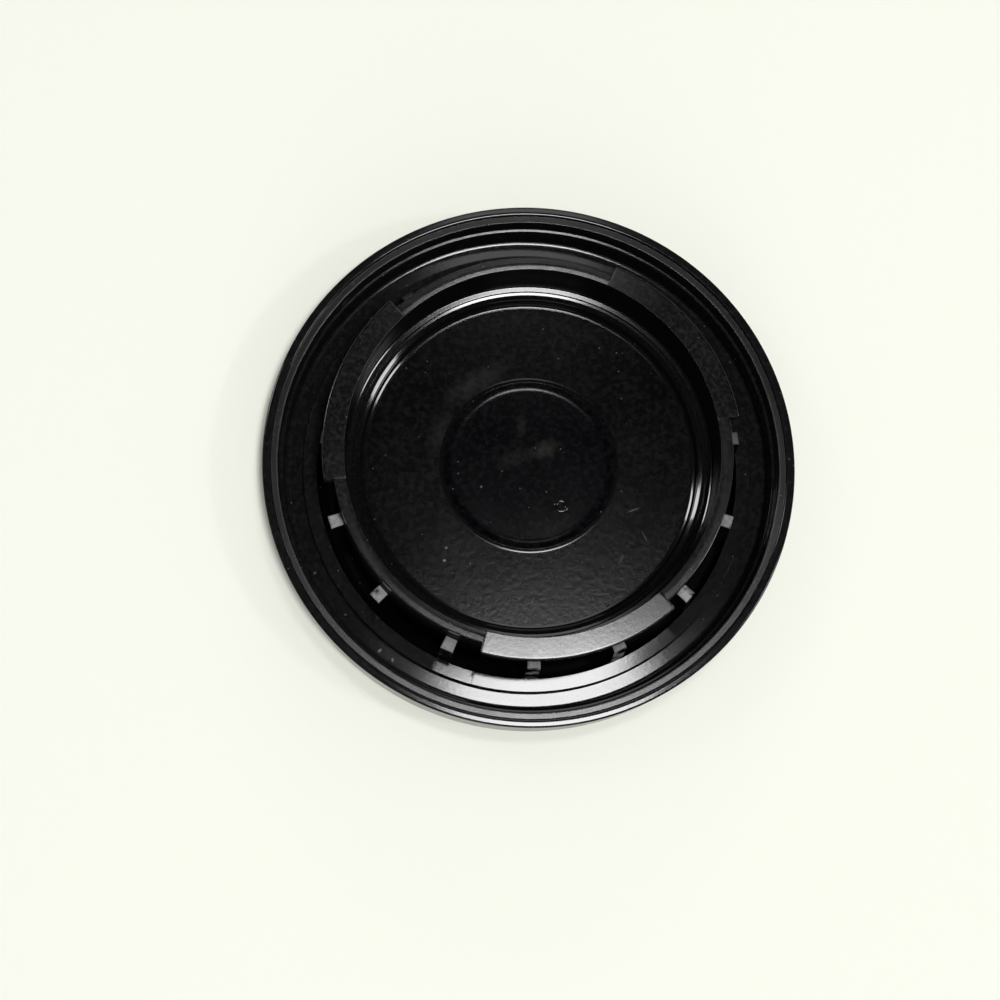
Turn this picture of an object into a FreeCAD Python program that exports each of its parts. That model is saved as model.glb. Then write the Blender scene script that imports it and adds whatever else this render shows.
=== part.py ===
import FreeCAD, Part
import math
import os

# Camera body cap, moulded in one piece. Millimetres. The outer face lies on Z = 0 about the Z axis,
# and the open side with the bayonet collar points up.

# Radial sizes, from the collar outwards to the skirt and inwards to the floor
COLLAR_RADIUS = 22.85
COLLAR_WALL = 1.4
CHANNEL_WIDTH = 1.9
UPPER_LEDGE_WIDTH = 1.65
LOWER_LEDGE_WIDTH = 2.15
WALL_STEP_WIDTH = 0.4
RIM_BAND_WIDTH = 0.85
RIM_CREST_WIDTH = 1.0
SHELF_WIDTH = 1.4
FLOOR_BEVEL_WIDTH = 0.4
FLOOR_DISC_RADIUS = 9.5
FLOOR_DISC_SLOPE = 0.5

# Heights and wall thicknesses
FLANGE_WALL = 1.2
CHANNEL_DROP = 1.0
UPPER_LEDGE_RISE = 1.1
SKIRT_RISE = 5.6
RIM_BAND_DROP = 0.45
WALL_STEP_DROP = 2.4
COLLAR_RISE = 11.2
FLOOR_WALL = 2.0
FACE_RECESS_DEPTH = 3.7
SHELF_RISE = 1.5
SHELF_FALL = 0.3
FLOOR_DISC_DEPTH = 0.15

# Lean of each wall over its height, so that the moulding leaves its tool
SKIRT_DRAFT = 0.4
WALL_DRAFT = 0.1
COLLAR_DRAFT = 0.13
RIB_DRAFT = 0.4

# Bayonet lugs: middle of each one about the axis, in degrees from +X
LUG_MIDDLES = (38.0, 161.0, 283.0)
LUG_SPAN = 56.0
LUG_REACH = 1.15
LUG_THICKNESS = 1.6

# Ribs that bridge the channel
RIB_COUNT = 15
RIB_WIDTH = 1.5
RIB_RISE = 6.9
RIB_FIRST_ANGLE = 6.3

# Bevels of the skirt's two outer edges, of the other edges and of the walls' feet
FACE_EDGE_BEVEL = 0.8
CREST_BEVEL = 0.15
EDGE_BEVEL = 0.2
FINE_BEVEL = 0.1
RIB_BEVEL = 0.3
FOOT_BEVEL = 0.3
CHANNEL_BEVEL = 0.8

# Radii that follow from the widths
CHANNEL_OUTER = COLLAR_RADIUS + CHANNEL_WIDTH
LEDGE_STEP = CHANNEL_OUTER + UPPER_LEDGE_WIDTH
LEDGE_OUTER = LEDGE_STEP + LOWER_LEDGE_WIDTH
STEP_INNER = LEDGE_OUTER + WALL_DRAFT
STEP_OUTER = STEP_INNER + WALL_STEP_WIDTH
RIM_INNER = STEP_OUTER + WALL_DRAFT
CREST_INNER = RIM_INNER + RIM_BAND_WIDTH
CREST_OUTER = CREST_INNER + RIM_CREST_WIDTH
FACE_OUTER = CREST_OUTER - SKIRT_DRAFT
COLLAR_INNER = COLLAR_RADIUS - COLLAR_WALL
WALL_MIDDLE = COLLAR_RADIUS - COLLAR_WALL / 2
SHELF_OUTER = COLLAR_INNER - COLLAR_DRAFT
SHELF_INNER = SHELF_OUTER - SHELF_WIDTH
FLOOR_RADIUS = SHELF_INNER - FLOOR_BEVEL_WIDTH

# Heights that follow from the rises
LEDGE_TOP = FLANGE_WALL + CHANNEL_DROP
UPPER_LEDGE_TOP = LEDGE_TOP + UPPER_LEDGE_RISE
CREST_TOP = LEDGE_TOP + SKIRT_RISE
RIM_BAND_TOP = CREST_TOP - RIM_BAND_DROP
WALL_STEP_TOP = CREST_TOP - WALL_STEP_DROP
COLLAR_TOP = LEDGE_TOP + COLLAR_RISE
FLOOR_TOP = FACE_RECESS_DEPTH + FLOOR_WALL
SHELF_TOP = FLOOR_TOP + SHELF_RISE
DISC_TOP = FLOOR_TOP - FLOOR_DISC_DEPTH


class Corner:
    """A corner of the half section, square unless it has a bevel."""

    def __init__(self, radius, height, bevel=0.0):
        self.point = FreeCAD.Vector(radius, 0, height)
        self.bevel = bevel


def corner_points(before, corner, after):
    """The point of a square corner, or the two ends of its bevel.

    A bevel takes its size off both sides, but no more than half of the shorter one.
    """
    if corner.bevel == 0:
        return [corner.point]
    back = before.point - corner.point
    ahead = after.point - corner.point
    reach = min(corner.bevel, back.Length / 2, ahead.Length / 2)
    return [corner.point + back.normalize() * reach, corner.point + ahead.normalize() * reach]


def section(corners):
    """The closed face in the XZ plane that the corners go round."""
    ring = [corners[-1]] + corners + [corners[0]]
    points = []
    for index in range(len(corners)):
        points += corner_points(*ring[index:index + 3])
    return Part.Face(Part.makePolygon(points + points[:1]))


def turned(face, angle=360.0):
    """The solid that a half section sweeps about the Z axis."""
    return face.revolve(FreeCAD.Vector(0, 0, 0), FreeCAD.Vector(0, 0, 1), angle)


def about_axis(shape, angle):
    """A copy of a shape turned about the Z axis."""
    copy = shape.copy()
    copy.rotate(FreeCAD.Vector(0, 0, 0), FreeCAD.Vector(0, 0, 1), angle)
    return copy


def shell():
    """The skirt, ledges, channel, collar, shelf and floor, as one turned section."""
    outer_face = [
        Corner(0, FACE_RECESS_DEPTH),
        Corner(SHELF_OUTER, FACE_RECESS_DEPTH, bevel=FOOT_BEVEL),
        Corner(SHELF_OUTER, 0, bevel=EDGE_BEVEL),
        Corner(FACE_OUTER, 0, bevel=FACE_EDGE_BEVEL),
    ]
    skirt = [
        Corner(CREST_OUTER, CREST_TOP, bevel=CREST_BEVEL),
        Corner(CREST_INNER, CREST_TOP),
        Corner(CREST_INNER, RIM_BAND_TOP),
        Corner(RIM_INNER, RIM_BAND_TOP, bevel=FINE_BEVEL),
        Corner(STEP_OUTER, WALL_STEP_TOP),
        Corner(STEP_INNER, WALL_STEP_TOP, bevel=FINE_BEVEL),
    ]
    ledges = [
        Corner(LEDGE_OUTER, LEDGE_TOP, bevel=FOOT_BEVEL),
        Corner(LEDGE_STEP, LEDGE_TOP),
        Corner(LEDGE_STEP, UPPER_LEDGE_TOP, bevel=FINE_BEVEL),
        Corner(CHANNEL_OUTER, UPPER_LEDGE_TOP),
        Corner(CHANNEL_OUTER, FLANGE_WALL, bevel=CHANNEL_BEVEL),
    ]
    collar = [
        Corner(COLLAR_RADIUS, FLANGE_WALL, bevel=CHANNEL_BEVEL),
        Corner(COLLAR_RADIUS, COLLAR_TOP, bevel=EDGE_BEVEL),
        Corner(COLLAR_INNER, COLLAR_TOP, bevel=EDGE_BEVEL),
    ]
    floor = [
        Corner(SHELF_OUTER, SHELF_TOP + SHELF_FALL, bevel=FOOT_BEVEL),
        Corner(SHELF_INNER, SHELF_TOP, bevel=EDGE_BEVEL),
        Corner(FLOOR_RADIUS, FLOOR_TOP, bevel=FOOT_BEVEL),
        Corner(FLOOR_DISC_RADIUS + FLOOR_DISC_SLOPE, FLOOR_TOP),
        Corner(FLOOR_DISC_RADIUS, DISC_TOP),
        Corner(0, DISC_TOP),
    ]
    return turned(section(outer_face + skirt + ledges + collar + floor))


def sector(corners, span, middle):
    """A stretch of a turned section, so many degrees long and centred on an angle about the axis."""
    return about_axis(turned(section(corners), span), middle - span / 2)


def lug(middle):
    """A bayonet lug, level with the collar's top."""
    tip = COLLAR_RADIUS + LUG_REACH
    under = COLLAR_TOP - LUG_THICKNESS
    corners = [
        Corner(WALL_MIDDLE, under),
        Corner(tip, under, bevel=EDGE_BEVEL),
        Corner(tip, COLLAR_TOP, bevel=EDGE_BEVEL),
        Corner(WALL_MIDDLE, COLLAR_TOP),
    ]
    return sector(corners, LUG_SPAN, middle)


def rib(index):
    """A rib across the channel, whose outer end leans inwards above the upper ledge."""
    top = LEDGE_TOP + RIB_RISE
    corners = [
        Corner(WALL_MIDDLE, FLANGE_WALL / 2),
        Corner(CHANNEL_OUTER, FLANGE_WALL / 2),
        Corner(CHANNEL_OUTER, UPPER_LEDGE_TOP),
        Corner(CHANNEL_OUTER - RIB_DRAFT, top, bevel=RIB_BEVEL),
        Corner(WALL_MIDDLE, top),
    ]
    span = math.degrees(RIB_WIDTH / (COLLAR_RADIUS + CHANNEL_WIDTH / 2))
    return sector(corners, span, RIB_FIRST_ANGLE + index * 360.0 / RIB_COUNT)


def body_cap():
    """The whole moulding."""
    lugs = [lug(middle) for middle in LUG_MIDDLES]
    ribs = [rib(index) for index in range(RIB_COUNT)]
    return shell().fuse(lugs + ribs).removeSplitter()


def write(name, shape):
    """Write one piece and print what it measures."""
    if shape.ShapeType == "Compound" and len(shape.Solids) == 1:
        shape = shape.Solids[0]
    shape.exportStep(os.path.join("parts", name + ".step"))
    box = shape.optimalBoundingBox()
    print(name, "valid", shape.isValid(), "solids", len(shape.Solids), "faces", len(shape.Faces))
    print("volume", round(shape.Volume, 1), "height", round(box.ZLength, 3), "width", round(box.XLength, 3))


os.makedirs("parts", exist_ok=True)
write("body_cap", body_cap())
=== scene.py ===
"""Camera body cap, seen from its open side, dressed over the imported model.

The cap is one moulding, so its skin is one closed grid: a half section carried about the Z axis,
with a section of its own where a bayonet lug or a rib stands. All lengths are in metres.
"""
import logging
import math
from dataclasses import dataclass
from enum import Enum

import bpy
import numpy as np
from mathutils import Matrix, Vector


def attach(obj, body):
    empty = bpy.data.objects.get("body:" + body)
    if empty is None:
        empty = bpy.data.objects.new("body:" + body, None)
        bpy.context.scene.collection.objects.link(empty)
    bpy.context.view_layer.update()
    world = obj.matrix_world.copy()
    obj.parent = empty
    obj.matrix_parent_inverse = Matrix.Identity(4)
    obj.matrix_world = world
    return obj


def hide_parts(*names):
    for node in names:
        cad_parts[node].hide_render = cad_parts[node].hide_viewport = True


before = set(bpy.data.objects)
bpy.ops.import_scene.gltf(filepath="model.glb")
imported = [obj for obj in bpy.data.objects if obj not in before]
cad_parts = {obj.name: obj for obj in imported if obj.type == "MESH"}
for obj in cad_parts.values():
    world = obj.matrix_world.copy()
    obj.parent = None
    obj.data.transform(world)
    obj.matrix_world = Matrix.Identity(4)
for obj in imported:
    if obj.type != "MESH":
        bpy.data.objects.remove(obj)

LOG = logging.getLogger("body_cap")
MM = 0.001


class Region(Enum):
    """The stretches of the cap's skin, each of which takes one finish."""

    OUTER = "outer face and skirt"
    CREST = "crest of the skirt"
    RIM = "lower band of the skirt's top"
    LOWER_LEDGE = "lower ledge and skirt's inner wall"
    UPPER_LEDGE = "upper ledge"
    CHANNEL_SIDE = "channel's outer wall"
    CHANNEL_WALL = "collar's outer wall"
    CHANNEL_FLOOR = "channel's floor and ribs' sides"
    RIB_TOP = "tops of the ribs"
    RIB_END = "outer ends of the ribs"
    COLLAR_TOP = "top of the collar and lugs"
    BORE_WALL = "collar's inner wall"
    BORE = "shelf and bevel inside the collar"
    FLOOR = "floor inside the collar"
    BEAD = "bead round the disc"
    DISC = "round recess in the middle of the floor"


class LampUse(Enum):
    """What a lamp does: everything, only the reflections in gloss, or only the light on matt surfaces."""

    FULL = "full"
    GLOSS = "gloss"
    FILL = "fill"


class Station(Enum):
    """The forms of the half section about the axis."""

    PLAIN = "between the lugs and ribs"
    LUG = "through a lug"
    RIB = "through a rib"
    SEAT = "through the level seat of the upper ledge under one lug"
    PAD = "through the level stretch of the upper ledge before that seat"


@dataclass(frozen=True)
class Corner:
    """A corner of the half section, and the stretch of skin that follows it.

    Attributes:
        radius: Distance from the axis.
        height: Height above the outer face.
        rounding: Radius of the corner's round.
        region: Stretch of skin from this corner to the next.
    """

    radius: float
    height: float
    rounding: float
    region: Region


class MaterialGraph:
    """A node material on Object coordinates, with one method for each kind of node that it needs.

    Attributes:
        SPECK_CORE: Share of a speck's radius within which it is whole.
        SPOT_CORE: Share of a spot's reach within which it is whole.
    """

    SPECK_CORE = 0.5
    SPOT_CORE = 0.3

    def __init__(self, name: str) -> None:
        """Start a material with a Principled shader.

        Args:
            name: Name of the material.
        """
        self.material = bpy.data.materials.new(name)
        self.material.use_nodes = True
        self.nodes = self.material.node_tree.nodes
        self.links = self.material.node_tree.links
        self.shader = self.nodes["Principled BSDF"]
        self.place = self.nodes.new("ShaderNodeTexCoord").outputs["Object"]

    def noise(self, length: float, detail: float) -> bpy.types.NodeSocket:
        """Add smooth noise.

        Args:
            length: Length of its largest features.
            detail: Octaves of finer noise on top.

        Returns:
            The noise, about 0.3 to 0.7.
        """
        node = self.nodes.new("ShaderNodeTexNoise")
        node.inputs["Scale"].default_value = 1 / length
        node.inputs["Detail"].default_value = detail
        self.links.new(self.place, node.inputs["Vector"])
        return node.outputs["Fac"]

    def specks(self, spacing: float, radius: float) -> bpy.types.NodeSocket:
        """Add scattered specks: the places nearer than a radius to the middle of a Voronoi cell.

        Args:
            spacing: Mean distance between the cells' middles.
            radius: Largest radius of a speck.

        Returns:
            1 in a speck and 0 outside, with a soft edge.
        """
        node = self.nodes.new("ShaderNodeTexVoronoi")
        node.inputs["Scale"].default_value = 1 / spacing
        self.links.new(self.place, node.inputs["Vector"])
        share = radius / spacing
        return self.remap(node.outputs["Distance"], (self.SPECK_CORE * share, share), (1, 0))

    def spot(
        self, middle: tuple[float, float], half: tuple[float, float], turn: float
    ) -> bpy.types.NodeSocket:
        """Add a soft elliptical spot, the same at every height.

        Args:
            middle: Its place, seen along the axis.
            half: Half of its length and width.
            turn: Turn of its length from +X, in degrees.

        Returns:
            1 in the middle, falling to 0 at the edge.
        """
        node = self.nodes.new("ShaderNodeMapping")
        node.vector_type = "TEXTURE"
        node.inputs["Location"].default_value = (*middle, 0)
        node.inputs["Rotation"].default_value = (0, 0, math.radians(turn))
        node.inputs["Scale"].default_value = (*half, 1)
        self.links.new(self.place, node.inputs["Vector"])
        reach = self.nodes.new("ShaderNodeVectorMath")
        reach.operation = "LENGTH"
        self.links.new(node.outputs["Vector"], reach.inputs[0])
        return self.remap(reach.outputs["Value"], (self.SPOT_CORE, 1), (1, 0))

    def product(
        self, first: bpy.types.NodeSocket, second: bpy.types.NodeSocket | float
    ) -> bpy.types.NodeSocket:
        """Add a product of two values.

        Args:
            first: One value.
            second: The other value, or a constant.

        Returns:
            The product.
        """
        node = self.nodes.new("ShaderNodeMath")
        node.operation = "MULTIPLY"
        self.links.new(first, node.inputs[0])
        if isinstance(second, float):
            node.inputs[1].default_value = second
        else:
            self.links.new(second, node.inputs[1])
        return node.outputs["Value"]

    def along_y(self) -> bpy.types.NodeSocket:
        """Add the place along the cap's Y axis.

        Returns:
            The place, in metres.
        """
        node = self.nodes.new("ShaderNodeSeparateXYZ")
        self.links.new(self.place, node.inputs["Vector"])
        return node.outputs["Y"]

    def remap(
        self, value: bpy.types.NodeSocket, source: tuple[float, float], target: tuple[float, float]
    ) -> bpy.types.NodeSocket:
        """Add a clamped linear remap of a value.

        Args:
            value: What is remapped.
            source: Its values at the two ends.
            target: The results at the two ends.

        Returns:
            The remapped value.
        """
        node = self.nodes.new("ShaderNodeMapRange")
        node.inputs["From Min"].default_value, node.inputs["From Max"].default_value = source
        node.inputs["To Min"].default_value, node.inputs["To Max"].default_value = target
        self.links.new(value, node.inputs["Value"])
        return node.outputs["Result"]

    def blend(
        self,
        factor: bpy.types.NodeSocket,
        first: bpy.types.NodeSocket | tuple[float, float, float],
        second: tuple[float, float, float],
    ) -> bpy.types.NodeSocket:
        """Add a mix of two colours.

        Args:
            factor: Share of the second colour.
            first: A colour, or the socket of one.
            second: The other colour.

        Returns:
            The mixed colour.
        """
        node = self.nodes.new("ShaderNodeMix")
        node.data_type = "RGBA"
        self.links.new(factor, node.inputs["Factor"])
        if isinstance(first, tuple):
            node.inputs["A"].default_value = (*first, 1)
        else:
            self.links.new(first, node.inputs["A"])
        node.inputs["B"].default_value = (*second, 1)
        return node.outputs["Result"]

    def bump(self, height: bpy.types.NodeSocket, depth: float) -> bpy.types.NodeSocket:
        """Add a bumped normal.

        Args:
            height: The relief, from 0 to 1.
            depth: Its depth.

        Returns:
            The normal.
        """
        node = self.nodes.new("ShaderNodeBump")
        node.inputs["Strength"].default_value = 1
        node.inputs["Distance"].default_value = depth
        self.links.new(height, node.inputs["Height"])
        return node.outputs["Normal"]


@dataclass(frozen=True)
class WearAndPaintedLight:
    """Pale scuffing in patches, with painted light: it is whole towards -Y and fades out along Y, lighter
    where the light falls and darker away from it.

    Attributes:
        colour: Colour of fully worn plastic.
        patch: Length of the patches.
        cover: Values of the patches' noise at which the scuffing starts and is whole.
        whole: Place along Y where the painted light leaves the scuffing at its strongest.
        none: Place along Y where the painted light has faded it out.
    """

    colour: tuple[float, float, float]
    patch: float
    cover: tuple[float, float]
    whole: float
    none: float


@dataclass(frozen=True)
class StainAndPaintedLight:
    """A soft mark in the plastic's colour: a smear, a scratch, a fleck of dust, a painted reflection or
    painted shade.

    Attributes:
        middle: Its place, seen along the axis.
        half: Half of its length and width.
        turn: Turn of its length from +X, in degrees.
        colour: Its colour.
        strength: Share of its colour in the middle. Past 1 the mark is whole over a wider middle.
    """

    middle: tuple[float, float]
    half: tuple[float, float]
    turn: float
    colour: tuple[float, float, float]
    strength: float


@dataclass(frozen=True)
class PlasticFinish:
    """Black moulded plastic as one part of the tool leaves it, in some finishes with painted light and
    shade in its colour.

    Attributes:
        name: Name of the material.
        colour: Base colour, linear.
        pale: Colour of its palest grain.
        dust: Colour of the dust specks on it.
        roughness: Lowest and highest roughness over the cloudy variation.
        specular: Specular level of the surface.
        cloud_size: Length of the cloudy variation.
        grain_size: Length of the fine grain that the bump follows.
        grain_depth: Height of that grain.
        speck_spacing: Mean distance between dust specks in space.
        speck_radius: Largest radius of a speck.
        wear_and_painted_light: Scuffing on top, with painted light across the cap, if any.
        stains_and_painted_light: Soft marks on top: real marks, painted reflections and painted shade.
        cloud_detail: Octaves of finer noise in the cloudy variation.
        grain_detail: Octaves of finer noise in the grain and in the worn patches.
        cloud_range: Noise of the clouds at which the roughness is lowest and highest.
        pale_range: Noise of the grain at which the plastic starts to pale and is palest.
        stain_and_light_range: Noise of the grain at which a soft mark is thinnest and whole.
        stain_and_light_least: Share of a soft mark that is left where it is thinnest.
    """

    name: str
    colour: tuple[float, float, float]
    pale: tuple[float, float, float]
    roughness: tuple[float, float]
    dust: tuple[float, float, float] = (0.09, 0.09, 0.085)
    specular: float = 0.5
    cloud_size: float = 6 * MM
    grain_size: float = 0.35 * MM
    grain_depth: float = 0.004 * MM
    speck_spacing: float = 1.6 * MM
    speck_radius: float = 0.1 * MM
    wear_and_painted_light: WearAndPaintedLight | None = None
    stains_and_painted_light: tuple[StainAndPaintedLight, ...] = ()
    cloud_detail: float = 5
    grain_detail: float = 3
    cloud_range: tuple[float, float] = (0.3, 0.7)
    pale_range: tuple[float, float] = (0.42, 0.75)
    stain_and_light_range: tuple[float, float] = (0.3, 0.6)
    stain_and_light_least: float = 0.4

    def material(self) -> bpy.types.Material:
        """Build the node material.

        Returns:
            The material, on Object coordinates.
        """
        graph = MaterialGraph(self.name)
        graph.shader.inputs["Specular IOR Level"].default_value = self.specular
        cloud = graph.noise(self.cloud_size, self.cloud_detail)
        grain = graph.noise(self.grain_size, self.grain_detail)
        specks = graph.specks(self.speck_spacing, self.speck_radius)
        plastic = graph.blend(graph.remap(grain, self.pale_range, (0, 1)), self.colour, self.pale)
        # Pale worn patches, with painted light: whole towards -Y and fading out along Y.
        if self.wear_and_painted_light:
            painted_light_fade = graph.remap(graph.along_y(), (self.wear_and_painted_light.none, self.wear_and_painted_light.whole), (0, 1))
            patches = graph.noise(self.wear_and_painted_light.patch, self.grain_detail)
            worn_and_lit = graph.product(painted_light_fade, graph.remap(patches, self.wear_and_painted_light.cover, (0, 1)))
            plastic = graph.blend(worn_and_lit, plastic, self.wear_and_painted_light.colour)
        # Soft marks in the colour: real marks, painted reflections and painted shade.
        for stain_and_light in self.stains_and_painted_light:
            spot = graph.spot(stain_and_light.middle, stain_and_light.half, stain_and_light.turn)
            cover = graph.remap(grain, self.stain_and_light_range, (self.stain_and_light_least, 1))
            stain_and_light_share = graph.product(graph.product(spot, cover), stain_and_light.strength)
            plastic = graph.blend(stain_and_light_share, plastic, stain_and_light.colour)
        graph.links.new(graph.blend(specks, plastic, self.dust), graph.shader.inputs["Base Color"])
        roughness = graph.remap(cloud, self.cloud_range, self.roughness)
        graph.links.new(roughness, graph.shader.inputs["Roughness"])
        graph.links.new(graph.bump(grain, self.grain_depth), graph.shader.inputs["Normal"])
        return graph.material


FLOOR_GRAIN_AND_PAINTED_REFLECTION = PlasticFinish(
    name="grained_floor_plastic_and_painted_reflection",
    colour=(0.0012, 0.0012, 0.0014),
    pale=(0.0068, 0.0068, 0.007),
    roughness=(0.15, 0.2),
    specular=0.1,
    grain_size=0.6 * MM,
    grain_depth=0.012 * MM,
    # Painted reflection: the first two, broad lighter patches towards -X and +Y. The rest are scratches and
    # flecks of dust.
    stains_and_painted_light=(
        StainAndPaintedLight((-6.3 * MM, 9.8 * MM), (5 * MM, 1.8 * MM), 32, (0.016, 0.016, 0.016), 0.8),
        StainAndPaintedLight((-10.5 * MM, 3.5 * MM), (4 * MM, 1.4 * MM), 70, (0.013, 0.013, 0.013), 0.7),
        StainAndPaintedLight((12.2 * MM, -5.3 * MM), (1.1 * MM, 0.12 * MM), 20, (0.09, 0.09, 0.09), 0.8),
        StainAndPaintedLight((13.4 * MM, -8.4 * MM), (0.9 * MM, 0.1 * MM), 115, (0.07, 0.07, 0.07), 0.8),
        StainAndPaintedLight((10.6 * MM, -11.2 * MM), (0.8 * MM, 0.25 * MM), 60, (0.05, 0.05, 0.05), 0.7),
        StainAndPaintedLight((-9.7 * MM, -9.9 * MM), (0.2 * MM, 0.2 * MM), 0, (0.2, 0.2, 0.2), 0.9),
        StainAndPaintedLight((-9.9 * MM, -11.4 * MM), (0.22 * MM, 0.18 * MM), 0, (0.26, 0.26, 0.26), 0.9),
    ),
)
DISC_GRAIN = PlasticFinish(
    name="grained_disc_plastic",
    colour=(0.0013, 0.0013, 0.0018),
    pale=(0.0058, 0.0058, 0.0066),
    roughness=(0.12, 0.15),
    specular=0.14,
    grain_size=0.6 * MM,
    grain_depth=0.005 * MM,
    # Three lighter soft patches on the disc, and a pale fleck.
    stains_and_painted_light=(
        StainAndPaintedLight((1.9 * MM, 1.9 * MM), (2.2 * MM, 1.3 * MM), 20, (0.022, 0.022, 0.019), 0.8),
        StainAndPaintedLight((-0.8 * MM, 4.8 * MM), (1.9 * MM, 0.7 * MM), 84, (0.013, 0.013, 0.011), 0.8),
        StainAndPaintedLight((-1.6 * MM, 0.9 * MM), (2.8 * MM, 1.2 * MM), 22, (0.011, 0.011, 0.011), 0.8),
        StainAndPaintedLight((-5.6 * MM, -2.6 * MM), (0.2 * MM, 0.2 * MM), 0, (0.1, 0.1, 0.1), 0.9),
    ),
)
SATIN = PlasticFinish(
    name="satin_black_plastic",
    colour=(0.002, 0.002, 0.0022),
    pale=(0.015, 0.015, 0.0155),
    roughness=(0.13, 0.17),
    grain_size=0.5 * MM,
    grain_depth=0.003 * MM,
)
MATT = PlasticFinish(
    name="matt_black_plastic",
    colour=(0.009, 0.009, 0.0085),
    pale=(0.016, 0.016, 0.0148),
    roughness=(0.2, 0.25),
    grain_size=0.5 * MM,
    grain_depth=0.0015 * MM,
)
POLISHED = PlasticFinish(
    name="polished_black_plastic",
    colour=(0.0045, 0.0045, 0.0047),
    pale=(0.0115, 0.0115, 0.012),
    roughness=(0.075, 0.1),
    specular=0.38,
    grain_size=0.5 * MM,
    grain_depth=0.0015 * MM,
    stains_and_painted_light=(
        StainAndPaintedLight((-17.3 * MM, -21.4 * MM), (0.35 * MM, 0.2 * MM), 40, (0.22, 0.22, 0.21), 0.9),
        StainAndPaintedLight((-15.8 * MM, -22.5 * MM), (0.3 * MM, 0.2 * MM), 100, (0.2, 0.2, 0.19), 0.9),
        StainAndPaintedLight((-21.3 * MM, -17.2 * MM), (0.25 * MM, 0.15 * MM), 0, (0.12, 0.12, 0.12), 0.9),
        StainAndPaintedLight((-24.9 * MM, -12.3 * MM), (0.25 * MM, 0.18 * MM), 60, (0.1, 0.1, 0.1), 0.9),
    ),
)
GLOSSY = PlasticFinish(
    name="glossy_black_plastic",
    colour=(0.003, 0.003, 0.0031),
    pale=(0.007, 0.007, 0.007),
    roughness=(0.08, 0.1),
    grain_depth=0.0001 * MM,
)
VEILED = PlasticFinish(
    name="veiled_black_plastic",
    colour=(0.0018, 0.0018, 0.0018),
    pale=(0.005, 0.005, 0.0049),
    roughness=(0.26, 0.32),
    grain_depth=0.001 * MM,
)
BEADED = PlasticFinish(
    name="beaded_black_plastic",
    colour=(0.0025, 0.0025, 0.0027),
    pale=(0.007, 0.007, 0.0074),
    roughness=(0.1, 0.12),
    specular=0.3,
    grain_depth=0.0006 * MM,
)
SHADED = PlasticFinish(
    name="shaded_black_plastic",
    colour=(0.001, 0.001, 0.0012),
    pale=(0.0016, 0.0016, 0.0018),
    roughness=(0.55, 0.65),
    specular=0.1,
    grain_depth=0.002 * MM,
)
# Tops of the ribs: pale worn patches, partly real and partly painted light, whole towards -Y and faded out
# towards +Y, with painted shade on five of them.
SCUFFED_AND_PAINTED_LIGHT = PlasticFinish(
    name="scuffed_grey_plastic_and_painted_light",
    colour=(0.0022, 0.0022, 0.0024),
    pale=(0.005, 0.005, 0.0052),
    roughness=(0.4, 0.5),
    grain_depth=0.005 * MM,
    wear_and_painted_light=WearAndPaintedLight(
        colour=(0.27, 0.27, 0.28),
        patch=1.1 * MM,
        cover=(0.32, 0.5),
        whole=-4 * MM,
        none=4 * MM,
    ),
    # Painted shade: darker patches on the tops of the ribs at 246, 270, 294, 342 and 6 degrees.
    stains_and_painted_light=(
        StainAndPaintedLight((-9.6 * MM, -21.8 * MM), (1.8 * MM, 1.8 * MM), 0, (0.1, 0.1, 0.1), 0.5),
        StainAndPaintedLight((0.1 * MM, -23.8 * MM), (1.8 * MM, 1.8 * MM), 0, (0.08, 0.08, 0.08), 0.6),
        StainAndPaintedLight((9.8 * MM, -21.7 * MM), (1.8 * MM, 1.8 * MM), 0, (0.08, 0.08, 0.08), 0.6),
        StainAndPaintedLight((22.7 * MM, -7.2 * MM), (1.8 * MM, 1.8 * MM), 0, (0.1, 0.1, 0.1), 0.7),
        StainAndPaintedLight((23.7 * MM, 2.6 * MM), (1.8 * MM, 1.8 * MM), 0, (0.06, 0.06, 0.06), 0.5),
    ),
)
# Outer ends of the ribs: the dark, dull base of the channel's painted shade, with pale worn patches that
# are partly painted light, whole only on the three rib ends nearest -Y.
FRAYED_AND_PAINTED_LIGHT = PlasticFinish(
    name="frayed_grey_plastic_and_painted_light",
    colour=(0.001, 0.001, 0.0012),
    pale=(0.0016, 0.0016, 0.0018),
    roughness=(0.55, 0.65),
    specular=0.1,
    grain_depth=0.005 * MM,
    wear_and_painted_light=WearAndPaintedLight(
        colour=(0.24, 0.24, 0.25),
        patch=1.4 * MM,
        cover=(0.4, 0.55),
        whole=-22 * MM,
        none=-20 * MM,
    ),
    # A darker patch on the end of the rib at 246 degrees.
    stains_and_painted_light=(
        StainAndPaintedLight((-10.0 * MM, -22.7 * MM), (2 * MM, 2 * MM), 0, (0.002, 0.002, 0.002), 1.3),
    ),
)
REGION_FINISH: dict[Region, PlasticFinish] = {
    Region.OUTER: MATT,
    Region.CREST: POLISHED,
    Region.RIM: MATT,
    Region.LOWER_LEDGE: POLISHED,
    Region.UPPER_LEDGE: POLISHED,
    Region.CHANNEL_SIDE: SHADED,
    Region.CHANNEL_WALL: SHADED,
    Region.CHANNEL_FLOOR: SHADED,
    Region.RIB_TOP: SCUFFED_AND_PAINTED_LIGHT,
    Region.RIB_END: FRAYED_AND_PAINTED_LIGHT,
    Region.COLLAR_TOP: SATIN,
    Region.BORE_WALL: VEILED,
    Region.BORE: GLOSSY,
    Region.FLOOR: FLOOR_GRAIN_AND_PAINTED_REFLECTION,
    Region.BEAD: BEADED,
    Region.DISC: DISC_GRAIN,
}

# What the channel's stretches become where a rib crosses it
RIB_REGION: dict[Region, Region] = {
    Region.CHANNEL_FLOOR: Region.RIB_TOP,
    Region.CHANNEL_SIDE: Region.RIB_END,
}

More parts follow.
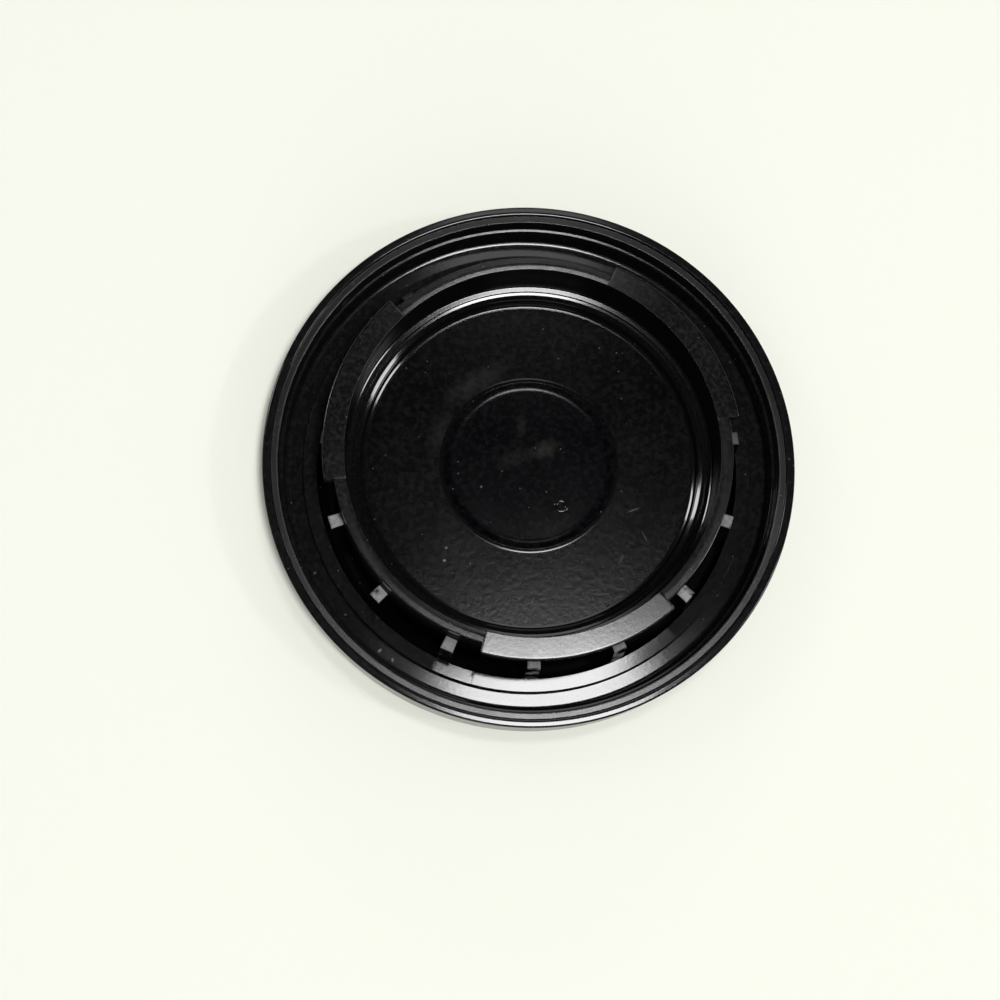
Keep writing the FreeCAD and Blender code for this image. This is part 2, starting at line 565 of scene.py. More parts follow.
# Turn in radians under which two sides of a section count as one straight line
STRAIGHT_TURN = 1e-4

# Largest share of a side that a corner takes up, on a straight line and where it turns
STRAIGHT_SHARE = 0.4
ROUND_SHARE = 0.46


def new_object(
    name: str,
    points: np.ndarray,
    faces: list[np.ndarray],
    materials: list[bpy.types.Material],
    indices: np.ndarray,
) -> bpy.types.Object:
    """Put arrays of points and faces into a new smooth-shaded object at the origin.

    Args:
        name: Name of the object and its mesh.
        points: Places of the vertices, one row each.
        faces: Blocks of faces, each block an array with one row of vertex numbers per face.
        materials: The object's materials.
        indices: Material number of each face, in the blocks' order.

    Returns:
        The linked object.
    """
    mesh = bpy.data.meshes.new(name)
    corners = np.concatenate([block.ravel() for block in faces]).astype(np.int32)
    sizes = np.concatenate([np.full(len(block), block.shape[1]) for block in faces]).astype(np.int32)
    starts = np.concatenate([[0], np.cumsum(sizes)[:-1]]).astype(np.int32)
    mesh.vertices.add(len(points))
    mesh.loops.add(len(corners))
    mesh.polygons.add(len(sizes))
    mesh.vertices.foreach_set("co", np.asarray(points, np.float32).ravel())
    mesh.loops.foreach_set("vertex_index", corners)
    mesh.polygons.foreach_set("loop_start", starts)
    mesh.polygons.foreach_set("loop_total", sizes)
    mesh.polygons.foreach_set("use_smooth", np.ones(len(sizes), bool))
    for material in materials:
        mesh.materials.append(material)
    mesh.polygons.foreach_set("material_index", np.asarray(indices, np.int32))
    mesh.update(calc_edges=True)
    mesh.validate()
    piece = bpy.data.objects.new(name, mesh)
    bpy.context.scene.collection.objects.link(piece)
    return piece


def ring_faces(number: np.ndarray) -> np.ndarray:
    """Quads of a grid of vertices whose columns go all the way round.

    The quad at row i and column j joins (i, j), (i, j + 1), (i + 1, j + 1) and (i + 1, j), where the
    column after the last one is the first.

    Args:
        number: Vertex number at each row and column.

    Returns:
        One row of four vertex numbers per quad.
    """
    following = np.roll(number, -1, axis=1)
    return np.stack([number[:-1], following[:-1], following[1:], number[1:]], axis=-1).reshape(-1, 4)


def axes_turn(right: Vector, up: Vector, back: Vector) -> Matrix:
    """The turn that takes X, Y and Z to three unit vectors."""
    return Matrix((right, up, back)).transposed().to_4x4()


def rounded_corner(
    before: np.ndarray, here: np.ndarray, after: np.ndarray, rounding: float, count: int
) -> np.ndarray:
    """Points of a tangent arc at a corner of a section.

    With half angle h between the two sides, the arc starts rounding / tan(h) before the corner and
    turns through pi - 2h: start + radius * (sin(a) * travel + (1 - cos(a)) * inwards).

    Args:
        before: The corner before.
        here: The corner.
        after: The corner after.
        rounding: Radius of the arc, cut down where the arc would take too much of a side.
        count: Number of points.

    Returns:
        Array of points, one row each, evenly turned. On a straight line they are evenly spaced.
    """
    back = before - here
    ahead = after - here
    shorter = min(np.linalg.norm(back), np.linalg.norm(ahead))
    back = back / np.linalg.norm(back)
    ahead = ahead / np.linalg.norm(ahead)
    half = 0.5 * math.acos(float(np.clip(back @ ahead, -1, 1)))
    turn = math.pi - 2 * half
    share = np.linspace(0, 1, count)[:, None]
    if turn < STRAIGHT_TURN:
        reach = min(rounding, STRAIGHT_SHARE * shorter)
        return here + reach * (back * (1 - share) + ahead * share)
    reach = min(rounding / math.tan(half), ROUND_SHARE * shorter)
    radius = reach * math.tan(half)
    inwards = ahead + back
    inwards = inwards - (inwards @ back) * back
    inwards = inwards / np.linalg.norm(inwards)
    angle = share * turn
    return here + reach * back + radius * (np.sin(angle) * -back + (1 - np.cos(angle)) * inwards)


@dataclass(frozen=True)
class Feature:
    """A feature that stands at several places about the axis, with rounded ends.

    Attributes:
        middles: Middle angle of each one, in degrees from +X.
        span: Its span about the axis, in degrees.
        radius: Radius at which distances along the arc are taken.
        size: Full reach of the feature.
        rounding: Radius of the round at its ends.
        slope: Distance over which an end rises.
        support: Distance from an end to the grid's supporting angles.
        end_points: Number of the grid's angles on an end's round.
    """

    middles: tuple[float, ...]
    span: float
    radius: float
    size: float
    rounding: float = 0.2 * MM
    slope: float = 0.02 * MM
    support: float = 0.04 * MM
    end_points: int = 3

    def inside(self) -> np.ndarray:
        """Distances inside an end at which the grid has an angle.

        Returns:
            The distances in rising order. Those before the end are negative.
        """
        before = [-self.support - self.slope, -self.slope]
        arc = self.rounding * (1 - np.cos(np.linspace(0, math.pi / 2, self.end_points)))
        return np.concatenate([before, arc, [self.rounding + self.support]])

    def marks(self) -> np.ndarray:
        """The grid's angles at both ends of each one.

        Returns:
            The angles in radians, in no order.
        """
        middles = np.radians(self.middles)[:, None]
        reach = math.radians(self.span) / 2 - self.inside() / self.radius
        return np.concatenate([middles - reach, middles + reach]).ravel()

    def presence(self, angles: np.ndarray) -> np.ndarray:
        """How far the feature stands up at each angle.

        At a distance x inside its end it stands at 1 - (e - sqrt(e^2 - (e - x)^2)) / size of its
        full reach, with the end round e, and outside its end it isn't there.

        Args:
            angles: Angles about the axis, in radians.

        Returns:
            Its presence at each angle, from 0 to 1.
        """
        inside = self.inside()
        depth = np.clip(self.rounding - inside, 0, self.rounding)
        level = 1 - (self.rounding - np.sqrt(self.rounding ** 2 - depth ** 2)) / self.size
        level[inside < 0] = 0
        turned = (angles[:, None] - np.radians(self.middles) + math.pi) % math.tau - math.pi
        away = np.abs(turned).min(axis=1)
        return np.interp((math.radians(self.span) / 2 - away) * self.radius, inside, level)


@dataclass
class BodyCap:
    """The one-piece cap: stepped skirt, ledges, channel with ribs, collar with lugs, shelf and floor.

    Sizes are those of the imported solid, with small rounds on its edges and slight falls of its flat
    tops. Angles are in degrees from +X.
    """

    node: str = "body_cap"

    # Widths, from the collar outwards to the skirt and inwards to the floor
    collar_radius: float = 22.85 * MM
    collar_wall: float = 1.4 * MM
    channel_width: float = 1.9 * MM
    upper_ledge_width: float = 1.65 * MM
    lower_ledge_width: float = 2.15 * MM
    wall_step_width: float = 0.4 * MM
    rim_band_width: float = 0.85 * MM
    rim_crest_width: float = 1.0 * MM
    shelf_width: float = 1.4 * MM
    floor_bevel_width: float = 0.4 * MM

    # Heights and wall thicknesses
    flange_wall: float = 1.2 * MM
    channel_drop: float = 1.0 * MM
    upper_ledge_rise: float = 1.1 * MM
    skirt_rise: float = 5.6 * MM
    rim_band_drop: float = 0.45 * MM
    wall_step_drop: float = 2.4 * MM
    collar_rise: float = 11.2 * MM
    floor_wall: float = 2.0 * MM
    face_recess_depth: float = 3.7 * MM
    shelf_rise: float = 1.5 * MM

    # Round recess in the floor, its sloping side and the bead along its edge
    floor_disc_radius: float = 9.5 * MM
    floor_disc_depth: float = 0.15 * MM
    disc_slope_width: float = 0.5 * MM
    disc_slope_foot: float = 0.3 * MM
    disc_lip_width: float = 0.37 * MM
    disc_lip_edge: float = 0.07 * MM
    disc_lip_foot: float = 0.04 * MM
    disc_lip_rise: float = 0.05 * MM

    # Lean of each wall over its height
    skirt_draft: float = 0.4 * MM
    wall_draft: float = 0.1 * MM
    collar_draft: float = 0.13 * MM
    rib_draft: float = 0.4 * MM

    # Bayonet lugs
    lug_middles: tuple[float, ...] = (38.0, 161.0, 283.0)
    lug_span: float = 56.0
    lug_reach: float = 1.15 * MM
    lug_thickness: float = 1.6 * MM

    # Ribs across the channel
    rib_count: int = 15
    rib_width: float = 1.5 * MM
    rib_rise: float = 6.9 * MM
    rib_first_angle: float = 6.3

    # Level seat of the upper ledge under one lug, counted from 0, and the level pad before it
    seat_lug: int = 2
    seat_fall: float = 0.023 * MM
    pad_span: float = 10.6
    pad_fall: float = 0.014 * MM

    # Where the flat tops bend, and how far they fall or rise from there
    crest_ridge: float = 0.28 * MM
    crest_fall: float = 0.047 * MM
    band_ridge: float = 0.18 * MM
    band_fall: float = 0.027 * MM
    step_rise: float = 0.058 * MM
    ledge_trough: float = 0.5 * MM
    ledge_bend: float = 1.7 * MM
    ledge_bend_rise: float = 0.004 * MM
    ledge_rise: float = 0.095 * MM
    upper_ledge_fall: float = 0.072 * MM
    collar_ridge: float = 0.6 * MM
    collar_ridge_fall: float = 0.014 * MM
    collar_fall: float = 0.085 * MM
    lug_edge: float = 0.22 * MM
    lug_edge_fall: float = 0.008 * MM
    lug_fall: float = 0.006 * MM

    # Shelf with two slopes and a step between them, and the facets along its edges and the floor's
    shelf_split: float = 0.69 * MM
    shelf_slope: float = 0.154
    shelf_outer_slope: float = 0.126
    shelf_step: float = 0.1 * MM
    shelf_step_width: float = 0.08 * MM
    facet_slope: float = 0.45
    foot_facet: float = 0.2 * MM
    edge_facet: float = 0.46 * MM
    floor_facet: float = 0.28 * MM
    floor_toe: float = 0.24 * MM
    floor_toe_rise: float = 0.027 * MM

    # Rounds of the edges and feet
    face_edge_round: float = 1.2 * MM
    crest_round: float = 0.18 * MM
    edge_round: float = 0.25 * MM
    foot_round: float = 0.4 * MM
    fine_round: float = 0.12 * MM
    crisp_round: float = 0.06 * MM
    sharp_round: float = 0.02 * MM
    soft_round: float = 3.0 * MM
    ledge_foot_round: float = 0.1 * MM
    rib_round: float = 0.3 * MM
    ridge_round: float = 0.6 * MM
    channel_round: float = 0.85 * MM

    # Grid along the section: points on each round, a supporting point beside its ends at a distance
    # or at most a share of the straight stretch, and the longest step on that stretch
    arc_points: int = 4
    support: float = 0.04 * MM
    support_share: float = 0.2
    longest_step: float = 4 * MM

    # Without a lug, its lower corner lies on the bare wall, one part in this many of its thickness up
    bare_wall_parts: int = 3

    # Grid about the axis: even steps in a turn, share of a step that stays clear of a feature's end,
    # least turn between two angles in radians, and presence past which a face is on a rib
    turn_steps: int = 180
    clear_share: float = 0.2
    least_turn: float = 2e-5
    rib_presence: float = 0.5

    def __post_init__(self) -> None:
        """Work out the radii and heights that several stretches of the section share."""
        self.channel_outer = self.collar_radius + self.channel_width
        self.ledge_step = self.channel_outer + self.upper_ledge_width
        self.ledge_outer = self.ledge_step + self.lower_ledge_width
        self.collar_inner = self.collar_radius - self.collar_wall
        self.shelf_outer = self.collar_inner - self.collar_draft
        self.shelf_inner = self.shelf_outer - self.shelf_width
        self.ledge_top = self.flange_wall + self.channel_drop
        self.floor_top = self.face_recess_depth + self.floor_wall
        self.disc_top = self.floor_top - self.floor_disc_depth

    def skirt_corners(self) -> list[Corner]:
        """The corners of the outer face, the skirt and its stepped top, from the axis outwards.

        Returns:
            The corners in order.
        """
        step_inner = self.ledge_outer + self.wall_draft
        step_outer = step_inner + self.wall_step_width
        rim_inner = step_outer + self.wall_draft
        crest_inner = rim_inner + self.rim_band_width
        crest_outer = crest_inner + self.rim_crest_width
        crest_top = self.ledge_top + self.skirt_rise
        band_top = crest_top - self.rim_band_drop
        step_top = crest_top - self.wall_step_drop
        return [
            Corner(0, self.face_recess_depth, 0, Region.OUTER),
            Corner(self.shelf_outer, self.face_recess_depth, self.foot_round, Region.OUTER),
            Corner(self.shelf_outer, 0, self.edge_round, Region.OUTER),
            Corner(crest_outer - self.skirt_draft, 0, self.face_edge_round, Region.OUTER),
            Corner(crest_outer, crest_top, self.crest_round, Region.CREST),
            Corner(crest_inner + self.crest_ridge, crest_top, self.soft_round, Region.CREST),
            Corner(crest_inner, crest_top - self.crest_fall, self.fine_round, Region.CREST),
            Corner(crest_inner, band_top, self.crisp_round, Region.RIM),
            Corner(rim_inner + self.band_ridge, band_top, self.soft_round, Region.RIM),
            Corner(rim_inner, band_top - self.band_fall, self.fine_round, Region.LOWER_LEDGE),
            Corner(step_outer, step_top + self.step_rise, self.crisp_round, Region.LOWER_LEDGE),
            Corner(step_inner, step_top, self.fine_round, Region.LOWER_LEDGE),
        ]

    def ledge_corners(self, station: Station) -> list[Corner]:
        """The corners of the two ledges, from the skirt inwards.

        Args:
            station: Which form of the section.

        Returns:
            The corners in order.
        """
        bend = self.ledge_step + self.ledge_bend
        trough = self.ledge_step + self.ledge_trough
        foot_top = self.ledge_top + self.ledge_rise
        bend_top = self.ledge_top + self.ledge_bend_rise
        upper_top = self.ledge_top + self.upper_ledge_rise
        outer_fall = self.seat_fall if station is Station.SEAT else 0
        inner_falls = {Station.SEAT: 0.0, Station.PAD: self.pad_fall}
        inner_fall = inner_falls.get(station, self.upper_ledge_fall)
        return [
            Corner(self.ledge_outer, foot_top, self.ledge_foot_round, Region.LOWER_LEDGE),
            Corner(bend, bend_top, self.soft_round, Region.LOWER_LEDGE),
            Corner(trough, self.ledge_top, self.soft_round, Region.LOWER_LEDGE),
            Corner(self.ledge_step, self.ledge_top, self.crisp_round, Region.UPPER_LEDGE),
            Corner(self.ledge_step, upper_top - outer_fall, self.crisp_round, Region.UPPER_LEDGE),
            Corner(self.channel_outer, upper_top - inner_fall, self.crisp_round, Region.CHANNEL_SIDE),
        ]

    def channel_corners(self, station: Station) -> list[Corner]:
        """The corners of the channel's floor, or of a rib's top, from the ledges inwards.

        Args:
            station: Which form of the section.

        Returns:
            The corners in order.
        """
        ribbed = station is Station.RIB
        level = self.ledge_top + self.rib_rise if ribbed else self.flange_wall
        outer_end = self.channel_outer - (self.rib_draft if ribbed else 0)
        outer_round = self.rib_round if ribbed else self.channel_round
        inner_round = self.crisp_round if ribbed else self.channel_round
        return [
            Corner(outer_end, level, outer_round, Region.CHANNEL_FLOOR),
            Corner(self.collar_radius, level, inner_round, Region.CHANNEL_WALL),
        ]

    def collar_corners(self, station: Station) -> list[Corner]:
        """The corners of the collar or a lug, from the outer wall over the top to the bore.

        Args:
            station: Which form of the section.

        Returns:
            The corners in order.
        """
        lugged = station is Station.LUG
        collar_top = self.ledge_top + self.collar_rise
        lug_under = collar_top - self.lug_thickness
        tip = self.collar_radius + (self.lug_reach if lugged else 0)
        tip_under = lug_under if lugged else lug_under + self.lug_thickness / self.bare_wall_parts
        tip_fall = self.lug_edge_fall if lugged else 0
        ridge = tip - self.lug_edge if lugged else self.collar_inner + self.collar_ridge
        ridge_fall = 0 if lugged else self.collar_ridge_fall
        inner_fall = self.lug_fall if lugged else self.collar_fall
        return [
            Corner(self.collar_radius, lug_under, self.crisp_round, Region.CHANNEL_WALL),
            Corner(tip, tip_under, self.crisp_round, Region.COLLAR_TOP),
            Corner(tip, collar_top - tip_fall, self.fine_round, Region.COLLAR_TOP),
            Corner(ridge, collar_top - ridge_fall, self.soft_round, Region.COLLAR_TOP),
            Corner(self.collar_inner, collar_top - inner_fall, self.crisp_round, Region.BORE_WALL),
        ]

    def shelf_corners(self) -> list[Corner]:
        """The corners of the shelf, from the facet at its foot inwards to the facet on its edge.

        Returns:
            The corners in order.
        """
        shelf_top = self.floor_top + self.shelf_rise
        split = self.shelf_outer - self.shelf_split
        split_inner = split - self.shelf_step_width
        split_top = shelf_top + (split_inner - self.shelf_inner) * self.shelf_slope
        step_top = split_top + self.shelf_step
        foot_top = step_top + (self.shelf_split - self.foot_facet) * self.shelf_outer_slope
        wall_foot = foot_top + self.foot_facet * self.facet_slope
        edge_start = self.shelf_inner + self.edge_facet / 2
        edge_top = shelf_top + self.edge_facet / 2 * self.shelf_slope
        edge_under = edge_top - self.edge_facet * self.facet_slope
        return [
            Corner(self.shelf_outer, wall_foot, self.fine_round, Region.BORE),
            Corner(self.shelf_outer - self.foot_facet, foot_top, self.fine_round, Region.BORE),
            Corner(split, step_top, self.sharp_round, Region.BORE),
            Corner(split_inner, split_top, self.sharp_round, Region.BORE),
            Corner(edge_start, edge_top, self.ridge_round, Region.BORE),
            Corner(edge_start - self.edge_facet, edge_under, self.fine_round, Region.BORE),
        ]

    def floor_corners(self) -> list[Corner]:
        """The corners of the floor, from the facet at its edge inwards over the bead to the axis.

        Returns:
            The corners in order.
        """
        floor_radius = self.shelf_inner - self.floor_bevel_width
        toe_start = floor_radius - self.floor_facet
        toe_top = self.floor_top + self.floor_toe_rise
        facet_top = toe_top + self.floor_facet * self.facet_slope
        lip = self.floor_disc_radius + self.disc_slope_width
        lip_foot = self.floor_top + self.disc_lip_foot
        slope_foot = self.floor_disc_radius - self.disc_slope_foot
        return [
            Corner(floor_radius, facet_top, self.fine_round, Region.BORE),
            Corner(toe_start, toe_top, self.fine_round, Region.BORE),
            Corner(toe_start - self.floor_toe, self.floor_top, self.fine_round, Region.FLOOR),
            Corner(lip + self.disc_lip_width, self.floor_top, self.soft_round, Region.BEAD),
            Corner(lip + self.disc_lip_edge, lip_foot, self.crisp_round, Region.BEAD),
            Corner(lip, self.floor_top + self.disc_lip_rise, self.ridge_round, Region.DISC),
            Corner(slope_foot, self.disc_top, self.soft_round, Region.DISC),
            Corner(0, self.disc_top, 0, Region.DISC),
        ]

    def corners(self, station: Station) -> list[Corner]:
        """The corners of the half section, from the axis under the floor round to the axis above it.

        Args:
            station: Which form of the section.

        Returns:
            The corners in order. Every station has the same number.
        """
        return [
            *self.skirt_corners(),
            *self.ledge_corners(station),
            *self.channel_corners(station),
            *self.collar_corners(station),
            *self.shelf_corners(),
            *self.floor_corners(),
        ]

    def places(self, station: Station) -> np.ndarray:
        """The corners' places as (radius, height) rows."""
        return np.array([[corner.radius, corner.height] for corner in self.corners(station)])

    def section(self, station: Station) -> tuple[np.ndarray, list[Region]]:
        """Sample the half section: an arc at each corner, with a supporting point beside each end.

        The plain section's lengths say how many points a stretch has, so every station has the same number.

        Args:
            station: Which form of the section.

        Returns:
            Points as (radius, height) rows with the axis left out, and the region of each step
            from a point to the next.
        """
        corners = self.corners(station)
        places = self.places(station)
        plain_runs = np.linalg.norm(np.diff(self.places(Station.PLAIN), axis=0), axis=1)
        ends = [places[:1]]
        ends += [
            rounded_corner(*places[index - 1:index + 2], corners[index].rounding, self.arc_points)
            for index in range(1, len(corners) - 1)
        ]
        ends.append(places[-1:])
        rows = []
        regions: list[Region] = []
        for corner, plain_run, here, there in zip(corners, plain_runs, ends, ends[1:]):
            start, stop = here[-1], there[0]
            length = np.linalg.norm(stop - start)
            inner = int(plain_run / self.longest_step)
            near = min(self.support / length, self.support_share) if length > 0 else self.support_share
            share = np.concatenate([[near], np.linspace(0, 1, inner + 2)[1:-1], [1 - near]])[:, None]
            rows += [here, start + (stop - start) * share]
            regions += [corner.region] * (len(here) + len(share))
        points = np.concatenate([*rows, ends[-1]])
        return points[1:-1], regions[1:]

    def stations(self) -> tuple[np.ndarray, dict[Station, np.ndarray]]:
        """The grid's angles about the axis, with the presence of each feature there.

        Returns:
            Angles in radians from 0 to a full turn, and the presence at each angle by station.
        """
        rib_radius = self.collar_radius + self.channel_width / 2
        rib_middles = self.rib_first_angle + np.arange(self.rib_count) * 360 / self.rib_count
        rib_span = math.degrees(self.rib_width / rib_radius)
        rib_height = self.rib_rise + self.channel_drop
        seat_middle = self.lug_middles[self.seat_lug]
        pad_middle = seat_middle - (self.lug_span + self.pad_span) / 2
        ledge = self.upper_ledge_width
        features = {
            Station.LUG: Feature(self.lug_middles, self.lug_span, self.collar_radius, self.lug_reach),
            Station.RIB: Feature(tuple(rib_middles), rib_span, rib_radius, rib_height),
            Station.SEAT: Feature((seat_middle,), self.lug_span, self.channel_outer, ledge),
            Station.PAD: Feature((pad_middle,), self.pad_span, self.channel_outer, ledge),
        }
        even = np.arange(self.turn_steps) * math.tau / self.turn_steps
        marks = np.concatenate([feature.marks() for feature in features.values()])
        gap = np.abs((even[:, None] - marks[None, :] + math.pi) % math.tau - math.pi).min(axis=1)
        even = even[gap > self.clear_share * math.tau / self.turn_steps]
        angles = np.sort(np.concatenate([even, marks]) % math.tau)
        angles = angles[np.diff(angles, prepend=angles[-1] - math.tau) > self.least_turn]
        return angles, {station: feature.presence(angles) for station, feature in features.items()}

    def surface(self) -> tuple[np.ndarray, list[np.ndarray], np.ndarray, list[Region]]:
        """The whole skin as one closed grid with a pole at each end of the section.

        A point at section step s and angle a is plain(s) + the sum over the other
        stations of presence(a) * (own(s) - plain(s)), turned about the axis by a.

        Returns:
            Points, blocks of faces, region number of each face, and the regions in number order.
        """
        plain, steps = self.section(Station.PLAIN)
        angles, presence = self.stations()
        grid = plain[:, None, :] + sum(
            share[None, :, None] * (self.section(station)[0] - plain)[:, None, :]
            for station, share in presence.items()
        )
        radius = grid[..., 0]
        points = np.stack([radius * np.cos(angles), radius * np.sin(angles), grid[..., 1]], axis=-1)
        rows, columns = radius.shape
        number = np.arange(rows * columns).reshape(rows, columns)
        under, above = rows * columns, rows * columns + 1
        first_fan = np.stack([np.full(columns, under), np.roll(number[0], -1), number[0]], axis=-1)
        last_fan = np.stack([number[-1], np.roll(number[-1], -1), np.full(columns, above)], axis=-1)
        poles = np.array([[0, 0, self.face_recess_depth], [0, 0, self.disc_top]])
        order = list(Region)
        step_regions = np.array([order.index(step) for step in steps[:rows - 1]])
        rib = presence[Station.RIB]
        on_rib = np.minimum(rib, np.roll(rib, -1)) > self.rib_presence
        own = np.repeat(step_regions[:, None], columns, axis=1)
        for bare_region, rib_region in RIB_REGION.items():
            own[(step_regions == order.index(bare_region))[:, None] & on_rib] = order.index(rib_region)
        indices = np.concatenate([
            own.ravel(),
            np.full(columns, order.index(Region.OUTER)),
            np.full(columns, order.index(Region.DISC)),
        ])
        faces = [ring_faces(number), first_fan, last_fan]
        return np.concatenate([points.reshape(-1, 3), poles]), faces, indices, order

    def build(self) -> bpy.types.Object:
        """Make the skin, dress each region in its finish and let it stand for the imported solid.

        Returns:
            The cap.
        """
        points, faces, indices, order = self.surface()
        finishes = list(dict.fromkeys(REGION_FINISH.values()))
        number = np.array([finishes.index(REGION_FINISH[region]) for region in order])
        materials = [finish.material() for finish in finishes]
        piece = new_object("cap_moulding", points, faces, materials, number[indices])
        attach(piece, "root")
        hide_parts(self.node)
        return piece


@dataclass
class RingMark:
    """The small raised ring that a pin of the tool leaves on the floor's round recess.

    Attributes:
        middle: Its place, seen along the axis.
        radius: Radius of the ring's crest.
        half_width: Half of the bead's width.
        height: The bead's height above the recess.
        sunk: How far its two feet reach below the recess.
        points_across: Number of points across the bead.
        points_around: Number of points along the ring.
    """

    middle: tuple[float, float] = (3.73 * MM, -4.87 * MM)
    radius: float = 0.62 * MM
    half_width: float = 0.24 * MM
    height: float = 0.1 * MM
    sunk: float = 0.02 * MM
    points_across: int = 13
    points_around: int = 64

    def build(self, level: float) -> bpy.types.Object:
        """Make the ring as a half bead carried about its own middle.

        With t from 0 to pi across the bead, a point stands at radius + half_width * cos(t) from the
        middle and at level - sunk + (height + sunk) * sin(t).

        Args:
            level: Height of the recess.

        Returns:
            The ring.
        """
        turn = np.arange(self.points_around) * 2 * np.pi / self.points_around
        across, around = np.meshgrid(np.linspace(0, np.pi, self.points_across), turn, indexing="ij")
        reach = self.radius + self.half_width * np.cos(across)
        points = np.stack([
            self.middle[0] + reach * np.cos(around),
            self.middle[1] + reach * np.sin(around),
            level - self.sunk + (self.height + self.sunk) * np.sin(across),
        ], axis=-1)
        faces = ring_faces(np.arange(across.size).reshape(across.shape))
        materials = [GLOSSY.material()]
        ring = new_object("ring_mark", points.reshape(-1, 3), [faces], materials, np.zeros(len(faces)))
        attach(ring, "root")
        return ring


@dataclass
class PhotoCamera:
    """The camera, above the cap and a little to one side of it.

    Attributes:
        tilt: Angle between the view and the cap's axis, in degrees.
        azimuth: Side on which the camera stands, in degrees from +X.
        distance: From the camera's plane to the aim point.
        focal_pixels: Focal length in pixels of the image.
        image_pixels: Side of the image in pixels.
        aim_pixel: Where the aim point lands in the image.
        aim_height: Height of the aim point on the cap's axis.
        sensor: Width of the sensor, in millimetres as the camera takes it.
        near_clip: Distance from which the camera sees anything.
    """

    tilt: float = 12.515
    azimuth: float = 254.33
    distance: float = 255.3 * MM
    focal_pixels: float = 2200.0
    image_pixels: float = 1000.0
    aim_pixel: tuple[float, float] = (530.26, 461.13)
    aim_height: float = 7.7 * MM
    sensor: float = 36.0
    near_clip: float = 5 * MM

    def build(self) -> bpy.types.Object:
        """Make the camera the scene's own.

        Returns:
            The camera object.
        """
        tilt, azimuth = math.radians(self.tilt), math.radians(self.azimuth)
        back = Vector((
            math.sin(tilt) * math.cos(azimuth),
            math.sin(tilt) * math.sin(azimuth),
            math.cos(tilt),
        ))
        level = Vector((-math.sin(azimuth), math.cos(azimuth), 0))
        rise = back.cross(level)
        roll = azimuth + math.pi / 2
        right = math.cos(roll) * level - math.sin(roll) * rise
        up = math.sin(roll) * level + math.cos(roll) * rise
        per_pixel = self.distance / self.focal_pixels
        across = (self.aim_pixel[0] - self.image_pixels / 2) * per_pixel
        down = (self.aim_pixel[1] - self.image_pixels / 2) * per_pixel
        aim = Vector((0, 0, self.aim_height))
        place = aim - right * across + up * down + back * self.distance
        data = bpy.data.cameras.new("photo_camera")
        data.sensor_width = self.sensor
        data.lens = self.sensor * self.focal_pixels / self.image_pixels
        data.clip_start = self.near_clip
        camera = bpy.data.objects.new("photo_camera", data)
        camera.matrix_world = Matrix.Translation(place) @ axes_turn(right, up, back)
        bpy.context.scene.collection.objects.link(camera)
        bpy.context.scene.camera = camera
        return camera


@dataclass(frozen=True)
class SoftLamp:
    """A rectangular soft lamp that faces the cap.

    Attributes:
        name: Name of the lamp.
        azimuth: Side on which it stands, in degrees from +X.
        elevation: Height above the floor, in degrees.
        size: Width and height of the lamp.
        radiance: Brightness of its face, where 1 is white paper in full light.
        turn: Turn of the lamp about its own axis, in degrees.
        distance: From the cap to the lamp.
        use: What the lamp does.
    """

    name: str
    azimuth: float
    elevation: float
    size: tuple[float, float]
    radiance: float
    turn: float = 0.0
    distance: float = 1.0
    use: LampUse = LampUse.FULL

    def build(self) -> bpy.types.Object:
        """Add the lamp.

        Returns:
            The lamp object.
        """
        data = bpy.data.lights.new(self.name, "AREA")
        data.shape = "RECTANGLE"
        data.size, data.size_y = self.size
        data.energy = self.radiance * math.pi * self.size[0] * self.size[1]
        azimuth, elevation = math.radians(self.azimuth), math.radians(self.elevation)
        back = Vector((
            math.cos(elevation) * math.cos(azimuth),
            math.cos(elevation) * math.sin(azimuth),
            math.sin(elevation),
        ))
        right = Vector((-math.sin(azimuth), math.cos(azimuth), 0))
        up = back.cross(right)
        lamp = bpy.data.objects.new(self.name, data)
        facing = axes_turn(right, up, back) @ Matrix.Rotation(math.radians(self.turn), 4, "Z")
        lamp.matrix_world = Matrix.Translation(back * self.distance) @ facing
        lamp.visible_diffuse = self.use is not LampUse.GLOSS
        lamp.visible_glossy = self.use is not LampUse.FILL
        bpy.context.scene.collection.objects.link(lamp)
        return lamp


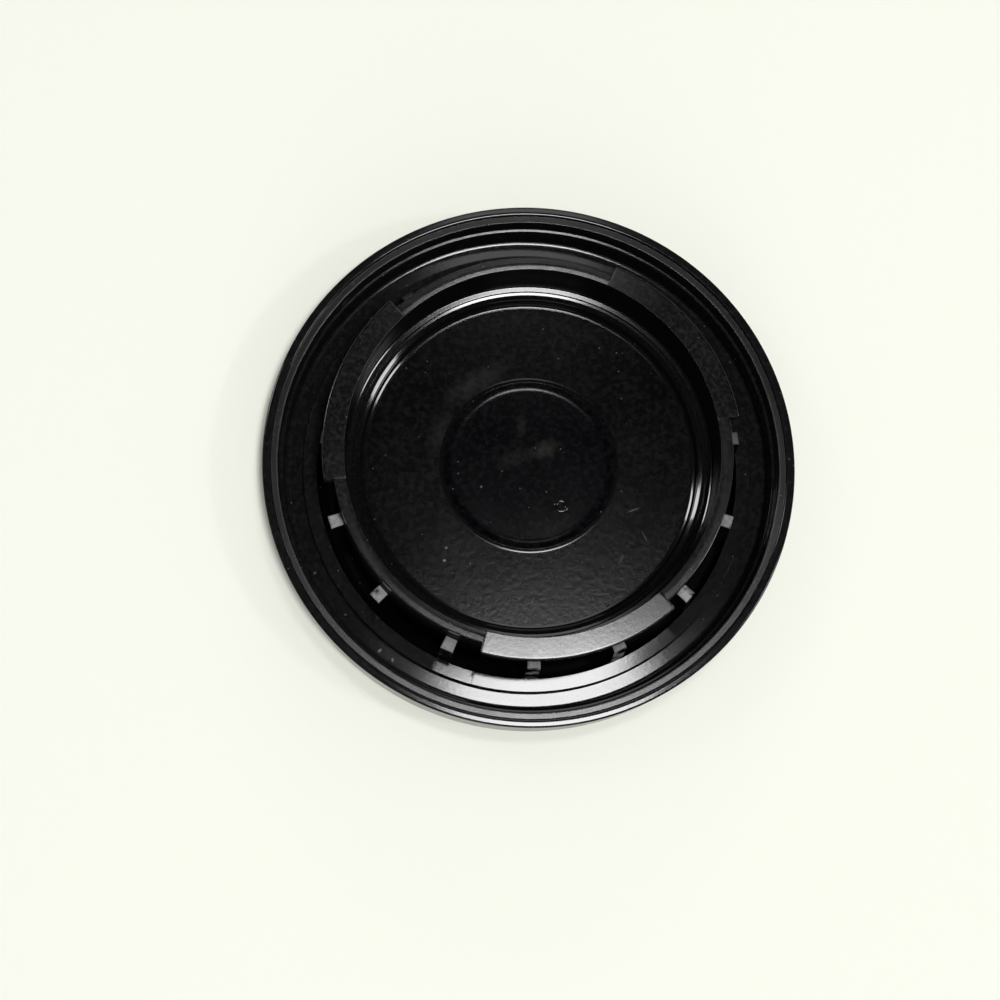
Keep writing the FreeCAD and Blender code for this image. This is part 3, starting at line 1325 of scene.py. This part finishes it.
@dataclass
class Studio:
    """The pale floor, the soft lamps and the room's own light.

    Attributes:
        floor_side: Side of the square floor.
        floor_colour: Its colour, linear.
        floor_roughness: Its roughness.
        room_colour: The room's even light, which gloss doesn't show.
        lamps: The soft lamps.
    """

    floor_side: float = 3.0
    floor_colour: tuple[float, float, float] = (0.93, 0.945, 0.85)
    floor_roughness: float = 0.8
    room_colour: tuple[float, float, float] = (0.2, 0.2, 0.2)
    lamps: tuple[SoftLamp, ...] = (
        SoftLamp("ceiling_lamp", 30.5, 84.37, (0.05, 0.067), 30, turn=-30.5, distance=0.502),
        SoftLamp("far_panel", 80.5, 67.9, (0.057, 0.066), 2.3, turn=10, distance=0.54),
        SoftLamp("key_lamp", 295, 77, (0.3, 0.3), 130, distance=2.5, use=LampUse.FILL),
        SoftLamp("right_lamp", 345, 50, (0.06, 0.06), 60, use=LampUse.FILL),
        SoftLamp("left_lamp", 151.5, 44, (0.06, 0.06), 15, use=LampUse.FILL),
        SoftLamp("right_window", 350, 48, (0.18, 0.3), 15, use=LampUse.GLOSS),
        SoftLamp("left_window", 146, 46, (0.13, 0.3), 15, use=LampUse.GLOSS),
        SoftLamp("near_wall", 272, 25, (0.6, 0.7), 1.0),
        SoftLamp("far_wall", 90, 20, (0.5, 0.15), 2.5),
    )

    def floor(self) -> bpy.types.Object:
        """Lay the floor under the cap, as stage.

        Returns:
            The floor object.
        """
        material = bpy.data.materials.new("pale_floor")
        material.use_nodes = True
        shader = material.node_tree.nodes["Principled BSDF"]
        shader.inputs["Base Color"].default_value = (*self.floor_colour, 1)
        shader.inputs["Roughness"].default_value = self.floor_roughness
        half = self.floor_side / 2
        points = np.array([[-half, -half, 0], [half, -half, 0], [half, half, 0], [-half, half, 0]])
        sheet = new_object("studio_floor", points, [np.array([[0, 1, 2, 3]])], [material], np.zeros(1))
        return sheet

    def room(self) -> bpy.types.World:
        """Light the room evenly and dimly.

        Returns:
            The world.
        """
        world = bpy.data.worlds.new("room")
        world.use_nodes = True
        world.node_tree.nodes["Background"].inputs["Color"].default_value = (*self.room_colour, 1)
        world.cycles_visibility.glossy = False
        bpy.context.scene.world = world
        return world

    def build(self) -> None:
        """Set up the floor, the room and the lamps."""
        self.floor()
        self.room()
        for lamp in self.lamps:
            lamp.build()


def main() -> None:
    """Build the cap, its ring mark, the camera and the studio in order, and report each piece."""
    logging.basicConfig(level=logging.INFO, format="%(name)s: %(message)s")
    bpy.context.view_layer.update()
    bpy.context.scene.view_settings.view_transform = "Standard"
    body = BodyCap()
    for piece in (body.build(), RingMark().build(body.disc_top)):
        LOG.info("%s has %d faces", piece.name, len(piece.data.polygons))
    PhotoCamera().build()
    Studio().build()


if __name__ == "__main__":
    main()
